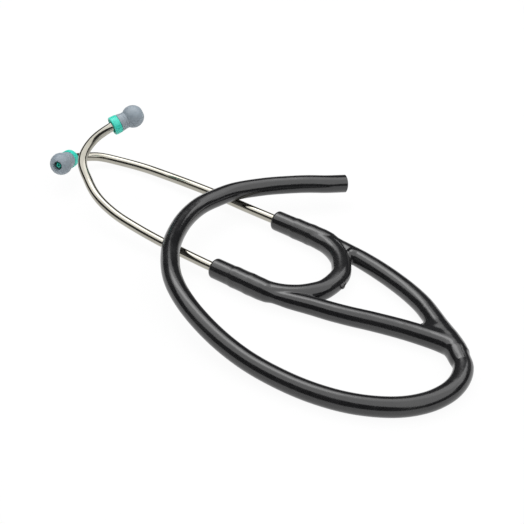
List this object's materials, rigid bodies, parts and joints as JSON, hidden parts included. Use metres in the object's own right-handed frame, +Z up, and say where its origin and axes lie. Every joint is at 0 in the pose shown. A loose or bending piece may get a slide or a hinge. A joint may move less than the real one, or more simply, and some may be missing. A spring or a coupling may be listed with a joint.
{
  "type": "stethoscope",
  "caption": "Stethoscope headset: black yoke tubing with an inner leaf spring, crossed bent metal ear tubes, grey soft ear tips with teal cores, and a looped main tube with a bare cut end.",
  "frame": {"origin": "on the surface that the stethoscope lies on, under the middle of the headset (the object without its free main tube)", "axes": "+Y from the Y junction towards the ear tips, +X to the side of the ear tube that passes underneath, +Z up from the surface"},
  "size_m": [0.1739, 0.3135, 0.0542],
  "materials": {
    "tubing": "glossy black soft PVC",
    "ear_tube_metal": "polished, slightly warm nickel plate",
    "spring": "spring steel",
    "bush": "turned brass",
    "core": "teal-green hard plastic",
    "soft_tip": "matt grey soft rubber"
  },
  "bodies": {
    "yoke": {"y_junction": "tubing", "main_tube": "tubing", "arm_tube_left": "tubing", "arm_tube_right": "tubing"},
    "left_side": {"sleeve_left": "tubing", "bridge_cover_left": "tubing", "spring_leaf_left": "spring"},
    "left_ear_tube": {"ear_tube_left": "ear_tube_metal", "ear_tube_barb_left": "bush", "ear_tube_nipple_left": "bush"},
    "left_tip": {"ear_tip_core_left": "core", "ear_tip_left": "soft_tip"},
    "right_side": {"sleeve_right": "tubing", "bridge_cover_right": "tubing", "spring_leaf_right": "spring"},
    "right_ear_tube": {"ear_tube_right": "ear_tube_metal", "ear_tube_barb_right": "bush", "ear_tube_nipple_right": "bush"},
    "right_tip": {"ear_tip_core_right": "core", "ear_tip_right": "soft_tip"}
  },
  "joints": [
    {"name": "left_spread", "type": "hinge", "parent": "yoke", "child": "left_side", "pos_m": [0, -0.0584, 0.0066], "axis": [0, 0, 1], "range_deg": [0, 25], "stiffness_Nm_per_rad": 1, "deforming": ["arm_tube_left", "bridge_cover_left"]},
    {"name": "left_ear_tube_swivel", "type": "hinge", "parent": "left_side", "child": "left_ear_tube", "pos_m": [-0.03, 0.0045, 0.0066], "axis": [0, -1, 0], "range_deg": [0, 90]},
    {"name": "left_tip_unscrew", "type": "hinge", "parent": "left_ear_tube", "child": "left_tip", "pos_m": [0.00781, 0.11379, 0.0437], "axis": [0.8833, -0.4108, 0.2259], "range_deg": [0, 1440]},
    {"name": "right_spread", "type": "hinge", "parent": "yoke", "child": "right_side", "pos_m": [0, -0.0584, 0.0066], "axis": [0, 0, 1], "range_deg": [-25, 0], "stiffness_Nm_per_rad": 1, "deforming": ["arm_tube_right", "bridge_cover_right"]},
    {"name": "right_ear_tube_swivel", "type": "hinge", "parent": "right_side", "child": "right_ear_tube", "pos_m": [0.03, 0.0045, 0.0066], "axis": [0, -1, 0], "range_deg": [0, 90]},
    {"name": "right_tip_unscrew", "type": "hinge", "parent": "right_ear_tube", "child": "right_tip", "pos_m": [-0.00012, 0.14509, 0.01291], "axis": [-0.89, -0.3424, 0.3012], "range_deg": [0, 1440]}
  ],
  "couplings": [
    {"joint": "right_spread", "follows": "left_spread", "ratio": -1}
  ]
}
